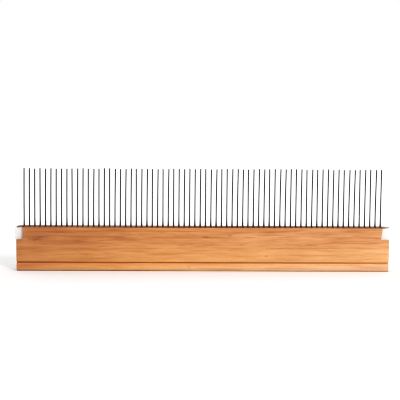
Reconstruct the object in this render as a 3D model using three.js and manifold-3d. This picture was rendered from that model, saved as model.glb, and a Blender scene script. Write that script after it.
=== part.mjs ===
// A single-row pin loom: a wooden bar with one row of fine upright steel pins.
// All lengths are millimetres. X runs along the bar, the front faces -Y and Z is up.
// The origin is in the middle of the underside, where the bar stands on a table.
import * as THREE from "three";
import { mergeVertices } from "three/addons/utils/BufferGeometryUtils.js";
import Module from "manifold-3d";

// The pin row. Each wire is bent into a hairpin, so it gives two neighbouring pins.
const PIN_PITCH = 5;
const HAIRPIN_COUNT = 34;
const WIRE_DIAMETER = 0.9;
const WIRE_SIDES = 6;
const BEND_STEPS = 6;
const FREE_STEPS = 3;
const TIP_HEIGHT = 95.9;
const ROW_OFFSET = -0.35; // the row sits a little to the left of the bar's middle
const TIP_LEAN = 0.25; // tips stand this far to the right of their roots
const TIP_SCATTER = 0.3; // a tip strays up to this far from there, along X and along Y
const TIP_SHORTFALL = 0.8; // and stops up to this far below the full height

// The wooden bar: two boards, face to face, on a base rail.
const BAR_LENGTH = 348.4;
const BAR_DEPTH = 16;
const BAR_HEIGHT = 40.8;
const RAIL_HEIGHT = 8.2;
const EDGE_RADIUS = 1.5;
const EDGE_STEPS = 4;
const GROOVE_WIDTH = 1.5; // half of it is cut into the rail and half into the boards
const GROOVE_DEPTH = 2;

// The stepped ends of the boards. The wall of the front board's right-hand step leans outwards.
const LEFT_SHOULDER_HEIGHT = 29.6;
const LEFT_STEP_WIDTH = 5.8;
const RIGHT_SHOULDER_HEIGHT = 30;
const RIGHT_STEP_WIDTH = 7.4;
const RIGHT_STEP_LEAN = 1.25; // that step is this much narrower at its top than at its foot

// The white core between the boards, which holds the hairpins, and the brown strip over it.
const CORE_BOTTOM = 16;
const CORE_DEPTH = 9;
const CORE_OVERHANG = 1.5; // above the steps' floors the core stands this far out of the boards
const SLOT_HEIGHT = 4; // the slot in the core's underside takes the hairpins' bends
const SLOT_END_WALL = 5;
const CAP_DEPTH = 11;
const CAP_THICKNESS = 0.75;
const CAP_SETBACK = 1.5; // the strip stops this far short of the core's left-hand end
const CAP_CURVE_LENGTH = 8; // its right-hand end is rounded over this length
const HOLE_RADIUS = 0.8; // for the pins, with about a quarter of a millimetre to spare all round
const HOLE_SIDES = 6;

const OVERRUN = 1; // how far a cutting body runs past the surfaces that it cuts

const CORE_LENGTH = BAR_LENGTH + 2 * CORE_OVERHANG;
const CAP_TOP = BAR_HEIGHT + CAP_THICKNESS;
const BEND_RADIUS = PIN_PITCH / 2;
const BEND_CENTRE = CORE_BOTTOM + 0.3 + WIRE_DIAMETER / 2 + BEND_RADIUS;
const PIN_COUNT = 2 * HAIRPIN_COUNT;
const FRONT = -1;
const BACK = 1;

const X_AXIS = new THREE.Vector3(1, 0, 0);
const Y_AXIS = new THREE.Vector3(0, 1, 0);
const Z_AXIS = new THREE.Vector3(0, 0, 1);

const wasm = await Module();
wasm.setup();

function solidFrom(geometry) {
  const bare = geometry.clone().deleteAttribute("normal").deleteAttribute("uv");
  const merged = mergeVertices(bare);
  const mesh = new wasm.Mesh({
    numProp: 3,
    vertProperties: merged.attributes.position.array,
    triVerts: new Uint32Array(merged.index.array),
  });
  return new wasm.Manifold(mesh);
}

function geometryFrom(solid) {
  const mesh = solid.getMesh();
  const geometry = new THREE.BufferGeometry();
  geometry.setAttribute("position", new THREE.BufferAttribute(mesh.vertProperties, 3));
  geometry.setIndex(new THREE.BufferAttribute(mesh.triVerts, 1));
  geometry.computeVertexNormals();
  return geometry;
}

// A profile drawn in Y and Z, drawn out over the whole length of the bar.
function alongTheBar(profile) {
  const geometry = new THREE.ExtrudeGeometry(profile, {
    depth: BAR_LENGTH,
    bevelEnabled: false,
    curveSegments: EDGE_STEPS,
  });
  geometry.translate(0, 0, -BAR_LENGTH / 2);
  return geometry.applyMatrix4(new THREE.Matrix4().makeBasis(Y_AXIS, Z_AXIS, X_AXIS));
}

// The place of a pin along the bar, counted from the left.
function pinX(pin) {
  return ROW_OFFSET + (pin - (PIN_COUNT - 1) / 2) * PIN_PITCH;
}

// A repeatable stray value between -1 and 1 for each pin.
function stray(pin, kind) {
  const wave = Math.sin(12.9898 * (pin + 1) + 78.233 * kind) * 43758.5453;
  return 2 * (wave - Math.floor(wave)) - 1;
}

// The base rail's lower edges are rounded. Its upper edges are the lower half of the grooves.
function railGeometry() {
  const side = BAR_DEPTH / 2;
  const grooveBottom = RAIL_HEIGHT - GROOVE_WIDTH / 2;
  const profile = new THREE.Shape();
  profile.moveTo(EDGE_RADIUS - side, 0);
  profile.lineTo(side - EDGE_RADIUS, 0);
  profile.absarc(side - EDGE_RADIUS, EDGE_RADIUS, EDGE_RADIUS, -Math.PI / 2, 0);
  profile.lineTo(side, grooveBottom);
  profile.lineTo(side - GROOVE_DEPTH, grooveBottom);
  profile.lineTo(side - GROOVE_DEPTH, RAIL_HEIGHT);
  profile.lineTo(GROOVE_DEPTH - side, RAIL_HEIGHT);
  profile.lineTo(GROOVE_DEPTH - side, grooveBottom);
  profile.lineTo(-side, grooveBottom);
  profile.absarc(EDGE_RADIUS - side, EDGE_RADIUS, EDGE_RADIUS, Math.PI, 1.5 * Math.PI);
  return alongTheBar(profile);
}

// One board, with the upper half of the groove outside and the rebate for the core inside.
// facing is FRONT or BACK.
function boardProfile(facing) {
  const outside = BAR_DEPTH / 2;
  const grooveTop = RAIL_HEIGHT + GROOVE_WIDTH / 2;
  const profile = new THREE.Shape();
  profile.moveTo(0, RAIL_HEIGHT);
  profile.lineTo(facing * (outside - GROOVE_DEPTH), RAIL_HEIGHT);
  profile.lineTo(facing * (outside - GROOVE_DEPTH), grooveTop);
  profile.lineTo(facing * outside, grooveTop);
  profile.lineTo(facing * outside, BAR_HEIGHT);
  profile.lineTo((facing * CORE_DEPTH) / 2, BAR_HEIGHT);
  profile.lineTo((facing * CORE_DEPTH) / 2, CORE_BOTTOM);
  profile.lineTo(0, CORE_BOTTOM);
  return profile;
}

// The body that cuts the step at one end of a board. end is -1 at the left and 1 at the right.
function stepCutter(end, shoulderHeight, footWidth, lean) {
  const barEnd = BAR_LENGTH / 2;
  const outline = new THREE.Shape();
  outline.moveTo(end * (barEnd + OVERRUN), shoulderHeight);
  outline.lineTo(end * (barEnd + OVERRUN), BAR_HEIGHT + OVERRUN);
  outline.lineTo(end * (barEnd - footWidth + lean), BAR_HEIGHT + OVERRUN);
  outline.lineTo(end * (barEnd - footWidth + lean), BAR_HEIGHT);
  outline.lineTo(end * (barEnd - footWidth), shoulderHeight);
  const depth = BAR_DEPTH + 2 * OVERRUN;
  const geometry = new THREE.ExtrudeGeometry(outline, { depth, bevelEnabled: false });
  geometry.translate(0, 0, -depth / 2);
  const backwards = Y_AXIS.clone().negate();
  return geometry.applyMatrix4(new THREE.Matrix4().makeBasis(X_AXIS, Z_AXIS, backwards));
}

function boardGeometry(facing) {
  const lean = facing === FRONT ? RIGHT_STEP_LEAN : 0;
  const leftStep = solidFrom(stepCutter(-1, LEFT_SHOULDER_HEIGHT, LEFT_STEP_WIDTH, 0));
  const rightStep = solidFrom(stepCutter(1, RIGHT_SHOULDER_HEIGHT, RIGHT_STEP_WIDTH, lean));
  const board = solidFrom(alongTheBar(boardProfile(facing)));
  return geometryFrom(board.subtract(leftStep).subtract(rightStep));
}

// The outline of a strip lying flat, from left to right. Its right-hand end is half an ellipse
// of the given length. A length of 0 gives a square end.
function stripOutline(left, right, depth, curveLength) {
  const side = depth / 2;
  const outline = new THREE.Shape();
  outline.moveTo(left, side);
  outline.lineTo(left, -side);
  outline.lineTo(right - curveLength, -side);
  if (curveLength > 0) {
    outline.absellipse(right - curveLength, 0, curveLength, side, -Math.PI / 2, 0);
    outline.absellipse(right - curveLength, 0, curveLength, side, 0, Math.PI / 2);
  } else {
    outline.lineTo(right, side);
  }
  return outline;
}

// A strip with a hole for each pin.
function drilledStrip(outline, thickness) {
  for (let pin = 0; pin < PIN_COUNT; pin++) {
    const hole = new THREE.Path();
    hole.absarc(pinX(pin), 0, HOLE_RADIUS, 0, 2 * Math.PI);
    outline.holes.push(hole);
  }
  return new THREE.ExtrudeGeometry(outline, {
    depth: thickness,
    bevelEnabled: false,
    curveSegments: HOLE_SIDES / 2, // a full circle gets twice this many sides
  });
}

// The body that cuts one end of the core back to the boards' ends, below a step's floor.
function lipCutter(end, shoulderHeight) {
  const length = CORE_OVERHANG + OVERRUN;
  const height = shoulderHeight - CORE_BOTTOM + OVERRUN;
  const cutter = new THREE.BoxGeometry(length, CORE_DEPTH + 2 * OVERRUN, height);
  return cutter.translate((end * (BAR_LENGTH + length)) / 2, 0, height / 2 - OVERRUN);
}

// The core fills the rebates. A slot along its underside, closed at both ends, joins the holes.
function coreGeometry() {
  const end = CORE_LENGTH / 2;
  const strip = drilledStrip(stripOutline(-end, end, CORE_DEPTH, 0), BAR_HEIGHT - CORE_BOTTOM);
  const slotLength = CORE_LENGTH - 2 * SLOT_END_WALL;
  const slot = new THREE.BoxGeometry(slotLength, 2 * HOLE_RADIUS, 2 * SLOT_HEIGHT);
  const leftCutter = solidFrom(lipCutter(-1, LEFT_SHOULDER_HEIGHT));
  const rightCutter = solidFrom(lipCutter(1, RIGHT_SHOULDER_HEIGHT));
  const slotted = solidFrom(strip).subtract(solidFrom(slot));
  return geometryFrom(slotted.subtract(leftCutter).subtract(rightCutter));
}

// The brown strip over the core. It is square at the left and rounded at the right.
function capGeometry() {
  const coreEnd = CORE_LENGTH / 2;
  const outline = stripOutline(CAP_SETBACK - coreEnd, coreEnd, CAP_DEPTH, CAP_CURVE_LENGTH);
  return drilledStrip(outline, CAP_THICKNESS);
}

// The middle line of a hairpin, as a chain of points with one step of the sweep for each.
class HairpinLine extends THREE.Curve {
  constructor(points) {
    super();
    this.points = points;
  }

  getPoint(t, target = new THREE.Vector3()) {
    const place = t * (this.points.length - 1);
    const index = Math.min(Math.floor(place), this.points.length - 2);
    return target.lerpVectors(this.points[index], this.points[index + 1], place - index);
  }

  getUtoTmapping(u) {
    return u;
  }
}

// The free part of a pin, from the brown strip up to the tip: upright at its root, then leaning.
function freePin(pin) {
  const lean = TIP_LEAN + TIP_SCATTER * stray(pin, 1);
  const sway = TIP_SCATTER * stray(pin, 2);
  const length = TIP_HEIGHT - CAP_TOP - TIP_SHORTFALL * Math.abs(stray(pin, 3));
  const points = [];
  for (let step = 0; step <= FREE_STEPS; step++) {
    const share = step / FREE_STEPS;
    const x = pinX(pin) + lean * share ** 2;
    points.push(new THREE.Vector3(x, sway * share ** 2, CAP_TOP + length * share));
  }
  return points;
}

// The half circle under the core that joins two pins, from the left one to the right one.
function bend(middleX) {
  const points = [];
  for (let step = 0; step <= BEND_STEPS; step++) {
    const angle = Math.PI * (1 + step / BEND_STEPS);
    const x = middleX + BEND_RADIUS * Math.cos(angle);
    points.push(new THREE.Vector3(x, 0, BEND_CENTRE + BEND_RADIUS * Math.sin(angle)));
  }
  return points;
}

function hairpinGeometry(hairpin) {
  const left = 2 * hairpin;
  const right = left + 1;
  const middleX = (pinX(left) + pinX(right)) / 2;
  const points = [...freePin(left).reverse(), ...bend(middleX), ...freePin(right)];
  const section = new THREE.Shape();
  section.absarc(0, 0, WIRE_DIAMETER / 2, 0, 2 * Math.PI);
  return new THREE.ExtrudeGeometry(section, {
    extrudePath: new HairpinLine(points),
    steps: points.length - 1,
    curveSegments: WIRE_SIDES / 2, // a full circle gets twice this many sides
  });
}

function varnishedWood() {
  return new THREE.MeshStandardMaterial({ color: 0xd99257, roughness: 0.45, metalness: 0 });
}

function whitePlastic() {
  return new THREE.MeshStandardMaterial({ color: 0xded9d6, roughness: 0.6, metalness: 0 });
}

function brownLaminate() {
  return new THREE.MeshStandardMaterial({ color: 0x733f22, roughness: 0.5, metalness: 0 });
}

function darkSteel() {
  return new THREE.MeshStandardMaterial({ color: 0x302f30, roughness: 0.38, metalness: 1 });
}

function addMesh(group, name, geometry, material) {
  const mesh = new THREE.Mesh(geometry, material);
  mesh.name = name;
  group.add(mesh);
  return mesh;
}

const loom = new THREE.Group();
addMesh(loom, "base_rail", railGeometry(), varnishedWood());
addMesh(loom, "front_board", boardGeometry(FRONT), varnishedWood());
addMesh(loom, "back_board", boardGeometry(BACK), varnishedWood());
addMesh(loom, "pin_core", coreGeometry(), whitePlastic()).position.z = CORE_BOTTOM;
addMesh(loom, "cap_strip", capGeometry(), brownLaminate()).position.z = BAR_HEIGHT;
for (let hairpin = 0; hairpin < HAIRPIN_COUNT; hairpin++) {
  const name = "hairpin_" + String(hairpin + 1).padStart(2, "0");
  addMesh(loom, name, hairpinGeometry(hairpin), darkSteel());
}

export default loom;
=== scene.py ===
# The looks of the single-row pin loom: varnished wood, white core, brown strip, dark steel pins.
# Everything is in metres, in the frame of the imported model.
import math
import random
from collections import namedtuple

import bmesh
import bpy
from mathutils import Matrix, Vector


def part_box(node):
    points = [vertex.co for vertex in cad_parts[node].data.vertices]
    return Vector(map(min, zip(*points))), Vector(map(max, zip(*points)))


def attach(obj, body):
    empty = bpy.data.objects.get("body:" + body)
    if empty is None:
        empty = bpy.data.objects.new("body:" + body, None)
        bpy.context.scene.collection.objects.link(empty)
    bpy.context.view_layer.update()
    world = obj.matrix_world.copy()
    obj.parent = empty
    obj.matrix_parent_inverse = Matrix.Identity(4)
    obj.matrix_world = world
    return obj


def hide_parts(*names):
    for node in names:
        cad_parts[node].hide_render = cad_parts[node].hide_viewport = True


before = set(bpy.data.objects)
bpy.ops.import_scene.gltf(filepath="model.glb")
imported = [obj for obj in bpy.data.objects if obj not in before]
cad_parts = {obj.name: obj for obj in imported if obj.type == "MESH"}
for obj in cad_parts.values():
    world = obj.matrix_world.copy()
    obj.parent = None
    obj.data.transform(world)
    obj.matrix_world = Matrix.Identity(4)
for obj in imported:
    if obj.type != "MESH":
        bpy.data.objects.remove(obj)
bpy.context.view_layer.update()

MM = 0.001
NEAR = 0.01 * MM  # places closer than this are taken as one
BODY = "root"
HAIRPINS = sorted(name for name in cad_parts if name.startswith("hairpin_"))

board_low, board_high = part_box("front_board")
rail_low, rail_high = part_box("base_rail")
core_low, core_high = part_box("pin_core")
cap_low, cap_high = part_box("cap_strip")
PIN_PITCH = 5 * MM
GROOVE_HALF = 0.75 * MM  # the grooves reach this far above and below the rail's joint

collection = bpy.context.scene.collection


# ---------------------------------------------------------------- materials


class Recipe:
    """One procedural material, built with short calls. Lengths in it are millimetres."""

    def __init__(self, name):
        self.material = bpy.data.materials.new(name)
        self.material.use_nodes = True
        self.tree = self.material.node_tree
        self.shader = self.tree.nodes["Principled BSDF"]
        metres = self.node("ShaderNodeTexCoord").outputs["Object"]
        scaled = self.node("ShaderNodeVectorMath", [metres], operation="SCALE")
        scaled.inputs["Scale"].default_value = 1 / MM
        self.place = scaled.outputs["Vector"]
        self.x, self.y, self.z = self.split(self.place)

    def node(self, kind, values=(), **settings):
        """A node with its settings made and its inputs filled in order, None leaving one alone."""
        made = self.tree.nodes.new(kind)
        for name, value in settings.items():
            setattr(made, name, value)
        inputs = [i for i in made.inputs if i.enabled]
        for socket, value in zip(inputs, values):
            self.feed(socket, value)
        return made

    def feed(self, socket, value):
        """Links an input to another node's output, or gives it a plain value."""
        if isinstance(value, bpy.types.NodeSocket):
            self.tree.links.new(value, socket)
        elif value is not None:
            socket.default_value = value

    def split(self, vector):
        """The X, Y and Z of a vector."""
        return self.node("ShaderNodeSeparateXYZ", [vector]).outputs

    def sums(self, operation, first, second=None, third=None):
        """One step of arithmetic."""
        made = self.node("ShaderNodeMath", [first, second, third], operation=operation)
        return made.outputs["Value"]

    def moved(self, offset, stretch):
        """The place, moved and then measured in units of stretch, so patterns come out that long."""
        scale = tuple(1 / length for length in stretch)
        shifted = self.node("ShaderNodeVectorMath", [self.place, offset], operation="ADD")
        scaled = self.node("ShaderNodeVectorMath", [shifted.outputs[0], scale], operation="MULTIPLY")
        return scaled.outputs[0]

    def noise(self, offset, stretch, detail=2.0, roughness=0.5):
        """Cloudy noise whose clouds are about as long as stretch, one length for each axis."""
        made = self.node("ShaderNodeTexNoise")
        self.feed(made.inputs["Vector"], self.moved(offset, stretch))
        made.inputs["Scale"].default_value = 1.0
        made.inputs["Detail"].default_value = detail
        made.inputs["Roughness"].default_value = roughness
        made.inputs["Distortion"].default_value = 0.0
        return made.outputs["Fac"]

    def spread(self, value, from_low, from_high, to_low=0.0, to_high=1.0, smooth=False):
        """A value carried from one range to another, and held at the ends."""
        made = self.node("ShaderNodeMapRange")
        made.interpolation_type = "SMOOTHSTEP" if smooth else "LINEAR"
        numbers = (value, from_low, from_high, to_low, to_high)
        for name, number in zip(("Value", "From Min", "From Max", "To Min", "To Max"), numbers):
            self.feed(made.inputs[name], number)
        return made.outputs["Result"]

    def ramp(self, value, stops):
        """A colour for each value, from a list of (place, colour)."""
        made = self.node("ShaderNodeValToRGB", [value])
        elements = made.color_ramp.elements
        while len(elements) < len(stops):
            elements.new(1.0)
        for element, (place, colour) in zip(elements, stops):
            element.position = place
            element.color = (*colour, 1.0)
        return made.outputs["Color"]

    def mixed(self, share, first, second, way="MIX"):
        """The first colour with a share of the second one laid over it."""
        made = self.node("ShaderNodeMix", data_type="RGBA", blend_type=way)
        colours = [i for i in made.inputs if i.type == "RGBA"]
        self.feed(made.inputs["Factor"], share)
        for socket, colour in zip(colours, (first, second)):
            self.feed(socket, (*colour, 1.0) if isinstance(colour, tuple) else colour)
        return next(o for o in made.outputs if o.type == "RGBA")

    def tinted(self, share, colour, tint):
        """The colour with a share of the tint multiplied into it."""
        return self.mixed(share, colour, tint, "MULTIPLY")

    def bump(self, height, distance, strength, below=None):
        """A normal for a surface that rises by distance where height is 1."""
        made = self.node("ShaderNodeBump")
        made.inputs["Strength"].default_value = strength
        made.inputs["Distance"].default_value = distance * MM
        self.feed(made.inputs["Height"], height)
        if below is not None:
            self.feed(made.inputs["Normal"], below)
        return made.outputs["Normal"]

    def finish(self, colour, roughness, normal=None, constants=None):
        """Joins the patterns to the shader. The constants are set on its own sockets, by name."""
        self.feed(self.shader.inputs["Base Color"], colour)
        self.feed(self.shader.inputs["Roughness"], roughness)
        if normal is not None:
            self.feed(self.shader.inputs["Normal"], normal)
        for name, value in (constants or {}).items():
            self.shader.inputs[name].default_value = value
        return self.material


# Streaks on the front board: x from the bar's middle, height, half length, half height, darkness.
FRONT_FLECKS = (
    (-150, 31.0, 15, 4.0, 0.35),
    (-152, 32.2, 9, 0.9, 0.7),
    (-156, 29.8, 6, 1.1, 1.0),
    (-114, 28.6, 9, 1.6, 0.4),
    (-150, 14.6, 8, 0.4, 0.45),
    (-136, 15.3, 9, 0.5, 0.55),
    (-111, 15.8, 5, 0.5, 0.6),
    (-93, 23.2, 9, 0.5, 0.5),
    (-90, 17.0, 4, 0.7, 0.5),
    (-58, 34.7, 2.5, 0.7, 0.4),
    (-42, 21.9, 7, 0.5, 0.45),
    (-20, 24.4, 5, 0.7, 0.65),
    (-4, 28.7, 14, 0.5, 0.45),
    (2, 32.4, 3.2, 0.9, 0.9),
    (9, 26.0, 5, 1.0, 0.35),
    (25, 33.7, 2.2, 0.9, 0.65),
    (36, 25.0, 4, 1.0, 0.35),
    (43, 32.1, 6, 0.6, 0.6),
    (57, 28.9, 40, 0.4, 0.3),
    (59, 14.5, 2.2, 0.9, 0.5),
    (101, 25.0, 7, 1.4, 0.5),
    (140, 28.9, 25, 0.35, 0.3),
    (150, 23.4, 14, 0.4, 0.3),
)

# The same on the base rail.
RAIL_FLECKS = (
    (-78, 0.4, 52, 1.2, 0.9),
    (-13.5, 4.0, 1.6, 1.4, 0.4),
    (-92, 5.5, 14, 0.5, 0.25),
    (64, 3.0, 18, 0.5, 0.25),
)

# The wood's colour along the bar, from the left end (0) to the right end (1): partly the wood's own tone
# and partly painted shade, darker towards the left-hand end, away from the light at the right.
BOARD_TONES_AND_SHADE = (
    (0.0, (0.48, 0.186, 0.043)),
    (0.2, (0.57, 0.236, 0.058)),
    (0.4, (0.69, 0.328, 0.098)),
    (1.0, (0.75, 0.402, 0.164)),
)
# Painted shade inside the grooves, multiplied into the wood's colour there: deeper and more orange, as
# shade and light bounced between their walls make them, from the left end (0) to the right end (1).
GROOVE_PAINTED_SHADE = (
    (0.0, (0.90, 0.56, 0.13)),
    (0.45, (0.92, 0.58, 0.13)),
    (0.67, (1.0, 0.80, 0.22)),
    (1.0, (0.90, 0.70, 0.24)),
)
# The same on the base rail, also partly painted shade towards its left-hand end.
RAIL_TONES_AND_SHADE = (
    (0.0, (0.49, 0.190, 0.056)),
    (0.25, (0.68, 0.335, 0.105)),
    (0.5, (0.75, 0.405, 0.165)),
    (1.0, (0.76, 0.430, 0.230)),
)

# Tints that are multiplied into the wood's colour, each with a share of its own.
UPPER_TINT = (0.78, 0.62, 0.58)  # the boards get deeper in tone towards their upper half
CLOUD_TINT = (0.80, 0.66, 0.44)
STREAK_TINT = (0.72, 0.54, 0.32)
FIBRE_TINT = (0.68, 0.52, 0.36)
LATE_WOOD_TINT = (0.68, 0.48, 0.30)
PORE_TINT = (0.58, 0.42, 0.28)
FLECK_TINT = (0.62, 0.40, 0.20)
END_GRAIN_TINT = (0.62, 0.50, 0.42)
END_CELL_TINT = (0.55, 0.42, 0.34)
# The painted shade along the edges that the bar stands on.
LOW_EDGE_SHADE_TINT = (0.64, 0.66, 0.72)
THICK_VARNISH_TINT = (0.95, 0.78, 0.58)

WORN_WOOD = (0.85, 0.60, 0.36)
EDGE_WEAR = 0.08  # the share of worn wood that shows along the sanded edges

RING_WIDTH = 3.2  # millimetres
RING_WANDER = 5.0  # millimetres between the rings' farthest strays inwards and outwards
# The share of late wood at each place in a ring, from its inside (0) to its outside (1).
RING_STOPS = ((0.0, (0.0,) * 3), (0.6, (0.2,) * 3), (0.9, (1.0,) * 3), (1.0, (0.1,) * 3))


def along_the_bar(recipe):
    """0 at the boards' left end and 1 at their right end."""
    return recipe.spread(recipe.x, board_low.x / MM, board_high.x / MM)


def flat_length(recipe, first, second):
    """The length of a flat vector with these two parts."""
    squares = recipe.sums("MULTIPLY_ADD", first, first, recipe.sums("MULTIPLY", second, second))
    return recipe.sums("SQRT", squares)


def growth_rings(recipe, pith):
    """Rings round a pith that runs along the bar, as a share from 0, early wood, to 1, late wood."""
    wander = recipe.noise((pith[0], 3, 7), (130, 16, 16), detail=3)
    drift = recipe.sums("MULTIPLY", recipe.sums("SUBTRACT", wander, 0.5), RING_WANDER)
    across = recipe.sums("SUBTRACT", recipe.y, pith[1])
    above = recipe.sums("SUBTRACT", recipe.z, pith[2])
    radius = recipe.sums("ADD", flat_length(recipe, across, above), drift)
    ring = recipe.sums("FRACT", recipe.sums("DIVIDE", radius, RING_WIDTH))
    return recipe.ramp(ring, RING_STOPS)


def flecks(recipe, marks):
    """Short dark streaks at chosen places, with ragged outlines."""
    total = 0.0
    ragged = recipe.noise((11, 5, 3), (3.0, 2.5, 0.4), detail=3)
    ragged = recipe.sums("MULTIPLY", recipe.sums("SUBTRACT", ragged, 0.5), 2.2)
    for x, z, half_length, half_height, darkness in marks:
        along = recipe.sums("DIVIDE", recipe.sums("SUBTRACT", recipe.x, x), half_length)
        up = recipe.sums("DIVIDE", recipe.sums("SUBTRACT", recipe.z, z), half_height)
        reach = recipe.sums("ADD", flat_length(recipe, along, up), ragged)
        total = recipe.sums("ADD", total, recipe.spread(reach, 1.3, 0.2, 0.0, darkness, smooth=True))
    return recipe.sums("MINIMUM", total, 1.0)


def wood_colour(recipe, tones_and_shade, pith, late, marks):
    """The colour of the wood before its ends, grooves and edges, and the pattern of its fibres."""
    seed = pith[0]
    upper = recipe.spread(recipe.z, 14.0, 30.0, 0.0, 0.55, smooth=True)
    strength = recipe.spread(recipe.z, 10.0, 32.0, 0.45, 0.95)
    cloud = recipe.noise((seed - 30, 6, 1), (44, 16, 4.5), detail=3)
    streak = recipe.noise((seed + 70, 4, 8), (28, 3, 2.1), detail=4, roughness=0.6)
    fibre = recipe.noise((seed, 9, 2), (15, 0.5, 0.5), detail=5, roughness=0.65)
    pore = recipe.noise((seed + 7, 1, 5), (3.0, 0.24, 0.2))
    cloud_share = recipe.sums("MULTIPLY", recipe.spread(cloud, 0.36, 0.64), strength)
    streak_share = recipe.sums("MULTIPLY", recipe.spread(streak, 0.45, 0.7), strength)
    colour = recipe.ramp(along_the_bar(recipe), tones_and_shade)
    colour = recipe.tinted(upper, colour, UPPER_TINT)
    colour = recipe.tinted(cloud_share, colour, CLOUD_TINT)
    colour = recipe.tinted(streak_share, colour, STREAK_TINT)
    colour = recipe.tinted(recipe.spread(fibre, 0.35, 0.75, 0.0, 0.45), colour, FIBRE_TINT)
    colour = recipe.tinted(recipe.sums("MULTIPLY", late, 0.4), colour, LATE_WOOD_TINT)
    colour = recipe.tinted(recipe.spread(pore, 0.6, 0.72, 0.0, 0.4), colour, PORE_TINT)
    if marks:
        colour = recipe.tinted(flecks(recipe, marks), colour, FLECK_TINT)
    return colour, fibre


def facing_end(recipe):
    """1 on faces that look along the bar and 0 on all others."""
    normal = recipe.node("ShaderNodeNewGeometry").outputs["Normal"]
    return recipe.spread(recipe.sums("ABSOLUTE", recipe.split(normal)[0]), 0.55, 0.9)


def end_grain(recipe, colour, end):
    """Darkens the cut ends and pits them with cells."""
    cells = recipe.noise((1, 2, 3), (0.35, 0.35, 0.35), detail=3)
    cell_share = recipe.sums("MULTIPLY", end, recipe.spread(cells, 0.5, 0.7))
    colour = recipe.tinted(recipe.sums("MULTIPLY", end, 0.75), colour, END_GRAIN_TINT)
    return recipe.tinted(cell_share, colour, END_CELL_TINT)


def inside_grooves(recipe, end):
    """1 deep in the grooves, fading out at their lips, and 0 elsewhere and on the bar's ends."""
    off_joint = recipe.sums("ABSOLUTE", recipe.sums("SUBTRACT", recipe.z, rail_high.z / MM))
    depth = recipe.sums("SUBTRACT", -rail_low.y / MM, recipe.sums("ABSOLUTE", recipe.y))
    near_joint = recipe.spread(off_joint, 0.9, 1.1, 1.0, 0.0)
    groove = recipe.sums("MULTIPLY", near_joint, recipe.spread(depth, 0.1, 0.7))
    return recipe.sums("MULTIPLY", groove, recipe.spread(end, 0.0, 1.0, 1.0, 0.0))


def low_edge_painted_shade(recipe, colour):
    """Painted shade along the edges that the bar stands on, where they face down towards the floor, laid
    on in blotches.
    """
    blotches = recipe.noise((5, 5, 5), (14, 4, 1.5), detail=3)
    low = recipe.spread(recipe.z, 0.7, 2.6, 1.0, 0.0, smooth=True)
    share = recipe.sums("MULTIPLY", low, recipe.spread(blotches, 0.2, 0.6, 0.8, 1.0))
    return recipe.tinted(share, colour, LOW_EDGE_SHADE_TINT)


def thick_varnish(recipe, colour):
    """Varnish that ran together below the grooves, most at the bar's left-hand end."""
    upper = recipe.spread(recipe.z, 3.0, 6.0, smooth=True)
    leftward = recipe.spread(recipe.x, -80.0, 50.0, 1.0, 0.0)
    return recipe.tinted(recipe.sums("MULTIPLY", upper, leftward), colour, THICK_VARNISH_TINT)


def varnished_wood(name, tones_and_shade, pith, marks=(), worn=0.0, thick=False):
    """Satin-varnished wood, with its grain along the bar and end grain at the bar's ends."""
    recipe = Recipe(name)
    patchy = recipe.noise((pith[0] + 40, 0, 0), (80, 12, 9), detail=3)
    patches = recipe.spread(patchy, 0.35, 0.65, 0.25, 1.0)
    late = recipe.sums("MULTIPLY", growth_rings(recipe, pith), patches)
    end = facing_end(recipe)
    groove = inside_grooves(recipe, end)

    colour, fibre = wood_colour(recipe, tones_and_shade, pith, late, marks)
    colour = end_grain(recipe, colour, end)
    # Painted shade inside the grooves.
    colour = recipe.tinted(groove, colour, recipe.ramp(along_the_bar(recipe), GROOVE_PAINTED_SHADE))
    colour = low_edge_painted_shade(recipe, colour)
    if thick:
        colour = thick_varnish(recipe, colour)
    if worn:
        colour = recipe.mixed(worn, colour, WORN_WOOD)

    smudge = recipe.noise((pith[0], 20, 30), (30, 12, 9), detail=3)
    satin = recipe.spread(smudge, 0.3, 0.7, 0.36, 0.5)
    rough = recipe.sums("ADD", satin, recipe.sums("MULTIPLY", end, 0.18))
    relief = recipe.sums("SUBTRACT", recipe.sums("MULTIPLY", late, 0.6), fibre)
    normal = recipe.bump(relief, 0.05, 0.5)
    waves = recipe.noise((3, 1, 4), (26, 9, 9), detail=1)
    normal = recipe.bump(waves, 0.25, 0.35, below=normal)
    gloss = recipe.spread(groove, 0.0, 1.0, 0.32, 0.0)
    recipe.feed(recipe.shader.inputs["Specular IOR Level"], gloss)
    return recipe.finish(colour, rough, normal, {"Coat Weight": 0.06, "Coat Roughness": 0.25})


def white_plastic():
    """Off-white core: faintly mottled, with fine saw marks and a few grimy blotches."""
    clean, mottled, grimy = (0.74, 0.70, 0.68), (0.69, 0.66, 0.64), (0.62, 0.59, 0.55)
    recipe = Recipe("white_plastic")
    mottle = recipe.noise((2, 1, 5), (5, 5, 5), detail=4, roughness=0.6)
    blotches = recipe.noise((8, 3, 2), (2.2, 2.2, 1.1), detail=5, roughness=0.65)
    base = recipe.mixed(recipe.spread(mottle, 0.3, 0.7), clean, mottled)
    base = recipe.mixed(recipe.spread(blotches, 0.56, 0.8, 0.0, 0.5), base, grimy)
    saw_marks = recipe.noise((0, 0, 0), (4, 4, 0.22), detail=3)
    rough = recipe.spread(mottle, 0.3, 0.7, 0.42, 0.58)
    return recipe.finish(base, rough, recipe.bump(saw_marks, 0.05, 0.4), {"IOR": 1.49})


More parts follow.
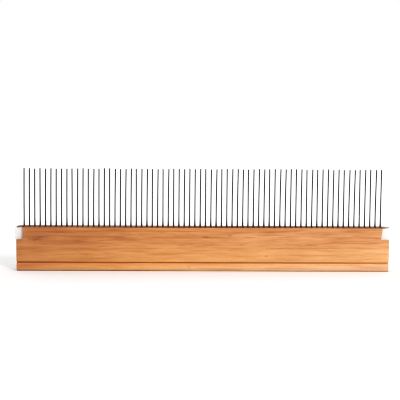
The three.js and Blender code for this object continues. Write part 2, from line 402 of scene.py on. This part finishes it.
def pin_stains_and_shade(recipe, first_pin):
    """The share of dark marks on the strip, partly resin stain and partly painted shade of the pins:
    strong round each pin and none half way to the next.
    """
    spacing = PIN_PITCH / MM
    from_first = recipe.sums("SUBTRACT", recipe.x, first_pin / MM - spacing / 2)
    within = recipe.sums("FRACT", recipe.sums("DIVIDE", from_first, spacing))
    off_pin = recipe.sums("ABSOLUTE", recipe.sums("SUBTRACT", within, 0.5))
    ragged = recipe.noise((4, 1, 0), (1.1, 2.5, 1.0), detail=3)
    stray = recipe.spread(ragged, 0.3, 0.7, -0.5, 0.5)
    reach = recipe.sums("ADD", recipe.sums("MULTIPLY", off_pin, spacing), stray)
    stain_and_shade_share = recipe.spread(reach, 1.2, 0.5, 0.0, 0.92, smooth=True)
    near_row = recipe.spread(recipe.sums("ABSOLUTE", recipe.y), 2.0, 5.0, 1.0, 0.75)
    return recipe.sums("MULTIPLY", stain_and_shade_share, near_row)


def brown_laminate(first_pin):
    """Dark brown resin-bonded strip: plies show at its edges, it is darkened at every pin, partly by resin
    stain and partly by painted shade of the pins, and it is paler towards its right-hand tip.
    """
    dark_ply, light_ply, thread = (0.13, 0.037, 0.011), (0.24, 0.072, 0.022), (0.060, 0.018, 0.007)
    bare, stain_and_shade, pale_end = (0.34, 0.14, 0.06), (0.030, 0.006, 0.001), (0.46, 0.36, 0.32)
    recipe = Recipe("brown_laminate")
    ply = recipe.noise((0, 0, 0), (45, 45, 0.16))
    weave = recipe.noise((5, 2, 0), (16, 0.8, 0.8), detail=5, roughness=0.65)
    rubbed = recipe.noise((9, 7, 0), (1.6, 3.5, 2.0), detail=4, roughness=0.6)
    right_end = cap_high.x / MM
    # The strip is paler over its last few millimetres towards the right-hand tip.
    pale_tip = recipe.spread(recipe.x, right_end - 8.0, right_end - 1.0, 0.0, 0.75)
    base = recipe.mixed(recipe.spread(ply, 0.35, 0.65), dark_ply, light_ply)
    base = recipe.mixed(recipe.spread(weave, 0.4, 0.7, 0.0, 0.6), base, thread)
    base = recipe.mixed(recipe.spread(rubbed, 0.5, 0.7, 0.0, 0.6), base, bare)
    base = recipe.mixed(pin_stains_and_shade(recipe, first_pin), base, stain_and_shade)
    base = recipe.mixed(pale_tip, base, pale_end)
    rough = recipe.spread(rubbed, 0.35, 0.75, 0.38, 0.6)
    return recipe.finish(base, rough, recipe.bump(weave, 0.03, 0.5), {"Specular IOR Level": 0.04})


def above_strip(recipe, low, high, at_low, at_high):
    """A share that changes smoothly between two heights above the brown strip."""
    top = cap_high.z / MM
    return recipe.spread(recipe.z, top + low, top + high, at_low, at_high, smooth=True)


def dark_steel():
    """Blued spring wire: fine drawing lines along it, cloudy oxide, and brown at its roots."""
    grey, blued, brown = (0.032, 0.031, 0.032), (0.018, 0.016, 0.015), (0.030, 0.012, 0.006)
    recipe = Recipe("dark_steel")
    oxide = recipe.noise((0, 0, 0), (2.5, 2.5, 9), detail=5, roughness=0.65)
    drawn = recipe.noise((0, 0, 0), (0.12, 0.12, 14), detail=3)
    base = recipe.mixed(recipe.spread(oxide, 0.35, 0.7), grey, blued)
    base = recipe.mixed(above_strip(recipe, 0.5, 5.0, 0.55, 0.0), base, brown)
    rough = recipe.spread(oxide, 0.3, 0.75, 0.28, 0.5)
    constants = {"Metallic": 1.0, "Specular Tint": (0.3, 0.3, 0.3, 1.0)}
    return recipe.finish(base, rough, recipe.bump(drawn, 0.01, 0.4), constants)


def root_resin():
    """Dark brown resin that crept up each pin, nearly black where it is thin."""
    deep, light, thin = (0.026, 0.006, 0.001), (0.055, 0.013, 0.003), (0.018, 0.014, 0.013)
    recipe = Recipe("root_resin")
    cloud = recipe.noise((0, 0, 0), (1.2, 1.2, 0.8), detail=4)
    base = recipe.mixed(recipe.spread(cloud, 0.3, 0.7), deep, light)
    base = recipe.mixed(above_strip(recipe, 1.0, 3.5, 0.0, 1.0), base, thin)
    rough = recipe.spread(cloud, 0.3, 0.7, 0.22, 0.42)
    return recipe.finish(base, rough, recipe.bump(cloud, 0.08, 0.4), {"Specular IOR Level": 0.08})


def studio_paper():
    """Plain white paper with a very faint unevenness."""
    recipe = Recipe("studio_paper")
    cloud = recipe.noise((0, 0, 0), (160, 160, 160))
    base = recipe.mixed(recipe.spread(cloud, 0.3, 0.7), (0.89, 0.89, 0.895), (0.91, 0.91, 0.91))
    return recipe.finish(base, 0.8)


# ---------------------------------------------------------------- shapes


SLICES = 58  # the wooden pieces are cut into this many stretches along the bar
MERGE = 0.002 * MM  # corners closer than this are joined
SANDED_WIDTH = 0.45 * MM  # how wide the sanding rounded the wood's outer edges
GROOVE_SHARE = 0.5  # of that width at the grooves' edges
JOINT_SHARE = 0.2  # and where two glued pieces meet on the outside
CORE_EDGE_WIDTH = 0.3 * MM
SHARP_ANGLE = math.radians(30)  # edges sharper than this are rounded
FLAT_ANGLE = math.radians(1)  # and faces that meet at less than this are one


def shade_smooth(mesh):
    """Lets the light run on over the edges between the mesh's faces."""
    for polygon in mesh.polygons:
        polygon.use_smooth = True


def near(value, *places):
    """Whether a value is at one of the places."""
    return any(abs(value - place) < NEAR for place in places)


def place_piece(name, mesh, materials, slot, *nodes):
    """Makes an object of the mesh, gives it its looks and ties it to the frame."""
    piece = bpy.data.objects.new(name, mesh)
    collection.objects.link(piece)
    for material in materials:
        mesh.materials.append(material)
    shade_smooth(mesh)
    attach(piece, BODY)
    if nodes:
        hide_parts(*nodes)
    return piece


def clean_form(node, slices=1):
    """A node's shape with its triangles joined into whole faces, cut across its length into slices."""
    form = bmesh.new()
    form.from_mesh(bpy.data.objects[node].data)
    bmesh.ops.remove_doubles(form, verts=form.verts, dist=MERGE)
    bmesh.ops.dissolve_limit(form, angle_limit=FLAT_ANGLE, verts=form.verts, edges=form.edges)
    low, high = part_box(node)
    for cut in range(1, slices):
        x = low.x + (high.x - low.x) * cut / slices
        everything = [*form.verts, *form.edges, *form.faces]
        bmesh.ops.bisect_plane(form, geom=everything, plane_co=(x, 0, 0), plane_no=(1, 0, 0), dist=MERGE)
    return form


def softened(piece, form, width, edge_share, edge_material=0):
    """Gives a piece its shape, with each sharp edge rounded over a share of the full width."""
    layer = form.edges.layers.float.new("bevel_weight_edge")
    for edge in form.edges:
        if len(edge.link_faces) == 2 and edge.calc_face_angle() > SHARP_ANGLE:
            edge[layer] = edge_share((edge.verts[0].co + edge.verts[1].co) / 2)
    form.to_mesh(piece.data)
    form.free()
    shade_smooth(piece.data)
    bevel = piece.modifiers.new("softened_edges", "BEVEL")
    bevel.limit_method = "WEIGHT"
    bevel.width = width
    bevel.segments = 3
    bevel.material = edge_material
    bevel.harden_normals = True
    bevel.use_clamp_overlap = True


def wood_edge_share(middle):
    """How much the edge at this place is rounded: outer edges fully, glued joints hardly or not."""
    at_seam = near(middle.y, 0.0, core_low.y, core_high.y)
    at_joint = near(middle.z, rail_high.z, core_low.z)
    if at_seam or at_joint:
        at_end = near(middle.x, board_low.x, board_high.x)
        outside = abs(middle.y) > core_high.y - NEAR
        return JOINT_SHARE if at_end or outside else 0.0
    at_groove = near(middle.z, rail_high.z - GROOVE_HALF, rail_high.z + GROOVE_HALF)
    return GROOVE_SHARE if at_groove else 1.0


def wooden_piece(node, look, edge_look):
    """One of the bar's wooden pieces, its outer edges rounded by sanding and its joints left tight."""
    name = node + "_wood"
    piece = place_piece(name, bpy.data.meshes.new(name), [look, edge_look], "varnished_wood", node)
    softened(piece, clean_form(node, SLICES), SANDED_WIDTH, wood_edge_share, edge_material=1)


def core_edge_share(middle):
    """Softens the core's sides and ends and leaves its holes and slot sharp."""
    at_side = abs(middle.y) > core_high.y - NEAR
    at_end = abs(middle.x) > board_high.x - NEAR
    return 1.0 if at_side or at_end else 0.0


def core_piece(material):
    """The white core, from end to end of the bar."""
    name = "core_plastic"
    piece = place_piece(name, bpy.data.meshes.new(name), [material], "white_plastic", "pin_core")
    softened(piece, clean_form("pin_core"), CORE_EDGE_WIDTH, core_edge_share)


# A hairpin's node, the middle of its two pins, its lowest point, and each pin's root and tip.
Hairpin = namedtuple("Hairpin", "node middle bottom pins")
UPRIGHT_TOP = cap_high.z + 0.1 * MM  # below this the hairpins stand upright
PIN_END_DEPTH = 0.3 * MM  # the corners of a pin's end lie no lower than this below its top


def pin_tip(leg):
    """The middle of the top of a pin, from the corners of its CAD solid."""
    top = max(point.z for point in leg)
    end = [point for point in leg if point.z > top - PIN_END_DEPTH]
    xs = [point.x for point in end]
    ys = [point.y for point in end]
    return Vector(((min(xs) + max(xs)) / 2, (min(ys) + max(ys)) / 2, top))


def read_hairpin(node):
    """Where a hairpin's pins stand and lean, as its CAD solid has them."""
    points = [vert.co.copy() for vert in bpy.data.objects[node].data.vertices]
    upright = [point.x for point in points if point.z < UPRIGHT_TOP]
    middle = (min(upright) + max(upright)) / 2
    pins = []
    for side in (-1, 1):
        root = Vector((middle + side * PIN_PITCH / 2, 0.0, cap_high.z))
        leg = [point for point in points if (point.x - middle) * side > 0]
        pins.append((root, pin_tip(leg)))
    low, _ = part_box(node)
    return Hairpin(node, middle, low.z, pins)


WIRE_RADIUS = 0.515 * MM  # the bare wire of 0.45 mm and a guessed dark coat, which sets how dark it looks
THICKER_COAT = 0.09  # share by which the wire is thicker at the bar's left-hand end, also a guess
THICKER_COAT_LENGTH = 150 * MM  # and the length over which that fades
WIRE_SIDES = 12
FREE_RINGS = 9
BEND_RINGS = 14
DOME_RINGS = ((0.0, 1.0), (0.45, 0.92), (0.75, 0.7), (0.93, 0.38))  # rise and width, in shares
DOME_HEIGHT = 0.6  # in wire radii


def coated_radius(x):
    """The coated wire's radius, a little more towards the left-hand end of the row."""
    leftness = max(0.0, 1 - (x - core_low.x) / THICKER_COAT_LENGTH)
    return WIRE_RADIUS * (1 + THICKER_COAT * leftness)


def on_pin(root, tip, share):
    """A point on a pin's middle line: upright at the root, and leaning more towards the tip."""
    return Vector((
        root.x + (tip.x - root.x) * share ** 2,
        root.y + (tip.y - root.y) * share ** 2,
        root.z + (tip.z - root.z) * share,
    ))


def wire_path(hairpin):
    """The middle line of one hairpin, from its left tip down, round the bend and up again."""
    left, right = (
        [on_pin(root, tip, ring / FREE_RINGS) for ring in range(FREE_RINGS + 1)]
        for root, tip in hairpin.pins
    )
    radius = PIN_PITCH / 2
    centre = hairpin.bottom + coated_radius(hairpin.middle) + radius
    bend = []
    for ring in range(BEND_RINGS + 1):
        angle = math.pi * (1 + ring / BEND_RINGS)
        x = hairpin.middle + radius * math.cos(angle)
        bend.append(Vector((x, 0.0, centre + radius * math.sin(angle))))
    return [*reversed(left), *bend, *right]


def domed_end(end, inner, radius):
    """Rings that close the wire's end in a small dome, the widest first."""
    direction = (end - inner).normalized()
    height = radius * DOME_HEIGHT
    return [(end - direction * height * (1 - rise), radius * width) for rise, width in DOME_RINGS]


def wire_rings(path, radius):
    """The rings of a wire along its path, with a dome at both ends."""
    first = list(reversed(domed_end(path[0], path[1], radius)))
    last = domed_end(path[-1], path[-2], radius)
    return [*first, *((point, radius) for point in path[1:-1]), *last]


def sweep(form, rings, sides):
    """A closed round bar through the rings, each a centre and a radius, on a path that keeps off Y."""
    loops = []
    for index, (centre, radius) in enumerate(rings):
        before = rings[max(index - 1, 0)][0]
        after = rings[min(index + 1, len(rings) - 1)][0]
        forward = (after - before).normalized()
        side = forward.cross(Vector((0, 1, 0))).normalized()
        up = side.cross(forward)
        loop = []
        for corner in range(sides):
            angle = 2 * math.pi * corner / sides
            loop.append(form.verts.new(centre + radius * (side * math.cos(angle) + up * math.sin(angle))))
        loops.append(loop)
    for low, high in zip(loops, loops[1:]):
        for corner in range(sides):
            following = (corner + 1) % sides
            form.faces.new((low[corner], low[following], high[following], high[corner]))
    form.faces.new(list(reversed(loops[0])))
    form.faces.new(loops[-1])


def finished_mesh(name, form):
    """A mesh of the form, with all of its faces turned outwards."""
    bmesh.ops.recalc_face_normals(form, faces=form.faces)
    mesh = bpy.data.meshes.new(name)
    form.to_mesh(mesh)
    form.free()
    return mesh


def wires(row, steel):
    """A rounder and slightly thicker wire in place of each CAD hairpin."""
    for hairpin in row:
        form = bmesh.new()
        sweep(form, wire_rings(wire_path(hairpin), coated_radius(hairpin.middle)), WIRE_SIDES)
        name = hairpin.node.replace("hairpin", "wire_pair")
        place_piece(name, finished_mesh(name, form), [steel], "dark_steel", hairpin.node)


COLLAR_RINGS = 8
COLLAR_SIDES = 16
COLLAR_FOOT = 0.15 * MM  # each collar's foot, wider than the strip's hole, is sunk this far into the strip
COLLAR_SKIN = 0.005 * MM  # its surface stays at least this far off the wire
RESIN_FALL = 2.6 * MM  # height over which the resin thins to about a third


def resin_collars(row, resin):
    """Resin that crept up every root and thins out upwards, each a little different."""
    chance = random.Random(7)
    form = bmesh.new()
    for hairpin in row:
        wire = coated_radius(hairpin.middle) + COLLAR_SKIN
        for root, tip in hairpin.pins:
            tall = chance.uniform(8, 10) * MM
            wide = chance.uniform(0.85, 1.05) * MM
            rings = [(root - Vector((0, 0, COLLAR_FOOT)), wide)]
            for ring in range(COLLAR_RINGS + 1):
                height = tall * (ring / COLLAR_RINGS) ** 2
                radius = wire + (wide - wire) * math.exp(-height / RESIN_FALL)
                rings.append((on_pin(root, tip, height / (tip.z - root.z)), radius))
            sweep(form, rings, COLLAR_SIDES)
    place_piece("root_resin", finished_mesh("root_resin", form), [resin], "brown_laminate")


HOLE_RADIUS = 0.8 * MM  # of each pin's hole in the strip
CAP_CURVE_LENGTH = 8 * MM  # the strip's right-hand end is rounded over this length
CAP_LEFT_WEAR_LENGTH = 4 * MM  # and its left-hand end is worn thin over this one
RIGHT_THINNING = 0.3  # the share of the strip's thickness that is gone at its right-hand tip
LEFT_THINNING = 0.5  # and at its left-hand one
TIP_WIDTH = 0.1  # the share of the strip's width that is left at the very tip
CAP_ROWS = [cap_high.y * share for share in (-1, -0.6, -0.2, 0.2, 0.6, 1)]  # across the strip
CELL_COLUMNS = (1 / 3, 2 / 3)  # along each pin's stretch of it
LEFT_COLUMNS = 2  # along the stretches beyond the first and the last pin
RIGHT_COLUMNS = 8
CAP_EDGE_WIDTH = 0.1 * MM
CAP_SHARP_ANGLE = math.radians(50)


def drilled_cell(form, centre):
    """One pin's stretch of the strip, lying flat, with a round hole in its middle."""
    front, back = CAP_ROWS[0], CAP_ROWS[-1]
    left, right = centre - PIN_PITCH / 2, centre + PIN_PITCH / 2
    inner = [left + PIN_PITCH * share for share in CELL_COLUMNS]
    border = [(left, front), *((x, front) for x in inner), *((right, y) for y in CAP_ROWS)]
    border += [*((x, back) for x in reversed(inner)), *((left, y) for y in reversed(CAP_ROWS[1:]))]
    outer = [form.verts.new((x, y, 0.0)) for x, y in border]
    start = math.atan2(front, left - centre)
    rim = []
    for index in range(len(border)):
        angle = start + 2 * math.pi * index / len(border)
        x = centre + HOLE_RADIUS * math.cos(angle)
        rim.append(form.verts.new((x, HOLE_RADIUS * math.sin(angle), 0.0)))
    for index in range(len(border)):
        following = (index + 1) % len(border)
        form.faces.new((outer[index], outer[following], rim[following], rim[index]))


def plain_stretch(form, left, right, columns):
    """A stretch of the strip without holes, lying flat, as a grid of faces."""
    xs = [left + (right - left) * column / columns for column in range(columns + 1)]
    grid = [[form.verts.new((x, y, 0.0)) for y in CAP_ROWS] for x in xs]
    for here, beyond in zip(grid, grid[1:]):
        for index in range(len(CAP_ROWS) - 1):
            form.faces.new((here[index], beyond[index], beyond[index + 1], here[index + 1]))


def shape_cap_ends(form):
    """Rounds the strip's right-hand end, thins both ends and lifts it to its place."""
    for vert in form.verts:
        curving = max(0.0, 1 - (cap_high.x - vert.co.x) / CAP_CURVE_LENGTH)
        left_wear = max(0.0, 1 - (vert.co.x - cap_low.x) / CAP_LEFT_WEAR_LENGTH)
        vert.co.y *= math.sqrt(max(1 - curving ** 2, TIP_WIDTH ** 2))
        vert.co.z = cap_low.z + vert.co.z * (1 - RIGHT_THINNING * curving - LEFT_THINNING * left_wear)


def cap_piece(row, material):
    """The brown strip: a plate with a round hole for each pin, rounded at the right, thin at both ends."""
    roots = [root.x for hairpin in row for root, _ in hairpin.pins]
    form = bmesh.new()
    for centre in roots:
        drilled_cell(form, centre)
    plain_stretch(form, cap_low.x, roots[0] - PIN_PITCH / 2, LEFT_COLUMNS)
    plain_stretch(form, roots[-1] + PIN_PITCH / 2, cap_high.x, RIGHT_COLUMNS)
    bmesh.ops.remove_doubles(form, verts=form.verts, dist=NEAR)
    made = bmesh.ops.extrude_face_region(form, geom=form.faces[:])
    for vert in made["geom"]:
        if isinstance(vert, bmesh.types.BMVert):
            vert.co.z = cap_high.z - cap_low.z
    shape_cap_ends(form)
    mesh = finished_mesh("cap_laminate", form)
    piece = place_piece("cap_laminate", mesh, [material], "brown_laminate", "cap_strip")
    bevel = piece.modifiers.new("softened_edges", "BEVEL")
    bevel.limit_method = "ANGLE"
    bevel.angle_limit = CAP_SHARP_ANGLE
    bevel.width = CAP_EDGE_WIDTH
    bevel.segments = 2
    bevel.harden_normals = True


# ---------------------------------------------------------------- studio


FLOOR_HALF = 12.0  # half the length of the floor's sides


def studio_floor(material):
    """The pale paper that the bar stands on."""
    mesh = bpy.data.meshes.new("studio_floor")
    corners = [(x * FLOOR_HALF, y * FLOOR_HALF, 0) for x, y in ((-1, -1), (1, -1), (1, 1), (-1, 1))]
    mesh.from_pydata(corners, [], [(0, 1, 2, 3)])
    floor = bpy.data.objects.new("studio_floor", mesh)
    collection.objects.link(floor)
    mesh.materials.append(material)


def toward(azimuth, elevation):
    """The direction from the bar to a light. Azimuth 0 is in front and 90 is to the right."""
    a, e = math.radians(azimuth), math.radians(elevation)
    return Vector((math.sin(a) * math.cos(e), -math.cos(a) * math.cos(e), math.sin(e)))


def place_lamp(name, light, direction, distance):
    """Hangs a light in a direction from the bar and aims it back at the bar."""
    lamp = bpy.data.objects.new(name, light)
    lamp.location = direction * distance
    lamp.rotation_euler = direction.to_track_quat("Z", "Y").to_euler()
    collection.objects.link(lamp)


def soft_box(name, azimuth, elevation, distance, size, power):
    """A square soft light near the bar."""
    light = bpy.data.lights.new(name, "AREA")
    light.shape = "SQUARE"
    light.size = size
    light.energy = power
    place_lamp(name, light, toward(azimuth, elevation), distance)


def soft_sun(name, azimuth, elevation, spread, strength):
    """Light from one side of the room. A white face square to it gets this strength."""
    light = bpy.data.lights.new(name, "SUN")
    light.angle = math.radians(spread)
    light.energy = strength * math.pi
    place_lamp(name, light, toward(azimuth, elevation), 0)


def bright_room(strength):
    """White light from all sides."""
    world = bpy.data.worlds.new("bright_room")
    world.use_nodes = True
    background = world.node_tree.nodes["Background"]
    background.inputs["Color"].default_value = (1.0, 1.0, 1.0, 1.0)
    background.inputs["Strength"].default_value = strength
    bpy.context.scene.world = world


EYE = (-0.0206, -0.9351, 0.1473)
YAW, PITCH, ROLL = 1.071, 4.94, 0.34  # degrees: to the right, down, and over


def camera():
    """A long lens in front of the bar and a little above it."""
    lens = bpy.data.cameras.new("camera")
    lens.lens = 90.0
    lens.sensor_width = 36.0
    lens.clip_start = 0.01
    lens.clip_end = 50.0
    eye = bpy.data.objects.new("camera", lens)
    collection.objects.link(eye)
    yaw, pitch, roll = (math.radians(angle) for angle in (YAW, PITCH, ROLL))
    turn = Matrix.Rotation(-yaw, 4, "Z") @ Matrix.Rotation(math.pi / 2 - pitch, 4, "X")
    eye.matrix_world = Matrix.Translation(EYE) @ turn @ Matrix.Rotation(roll, 4, "Z")
    bpy.context.scene.camera = eye


# ---------------------------------------------------------------- the scene


camera()
bright_room(1.0)
soft_sun("key", azimuth=31, elevation=22.5, spread=8, strength=0.43)
soft_box("side_fill", azimuth=58, elevation=22, distance=0.75, size=0.35, power=0.7)
studio_floor(studio_paper())
bpy.context.scene.view_settings.view_transform = "Standard"
bpy.context.scene.cycles.filter_width = 1.0

# Where the middle of each piece's rings runs: y and z. The x only shifts the noise in its looks.
FRONT_PITH = (0.0, 22.2, 5.0)
BACK_PITH = (300.0, -34.0, 52.0)
RAIL_PITH = (150.0, 30.0, -44.0)
wooden_piece(
    "front_board",
    varnished_wood("front_wood", BOARD_TONES_AND_SHADE, FRONT_PITH, FRONT_FLECKS),
    varnished_wood("front_wood_edges", BOARD_TONES_AND_SHADE, FRONT_PITH, worn=EDGE_WEAR),
)
wooden_piece(
    "back_board",
    varnished_wood("back_wood", BOARD_TONES_AND_SHADE, BACK_PITH),
    varnished_wood("back_wood_edges", BOARD_TONES_AND_SHADE, BACK_PITH, worn=EDGE_WEAR),
)
wooden_piece(
    "base_rail",
    varnished_wood("rail_wood", RAIL_TONES_AND_SHADE, RAIL_PITH, RAIL_FLECKS, thick=True),
    varnished_wood("rail_wood_edges", RAIL_TONES_AND_SHADE, RAIL_PITH, worn=EDGE_WEAR, thick=True),
)
core_piece(white_plastic())
row = [read_hairpin(node) for node in HAIRPINS]
first_root, _ = row[0].pins[0]
cap_piece(row, brown_laminate(first_root.x))
wires(row, dark_steel())
resin_collars(row, root_resin())
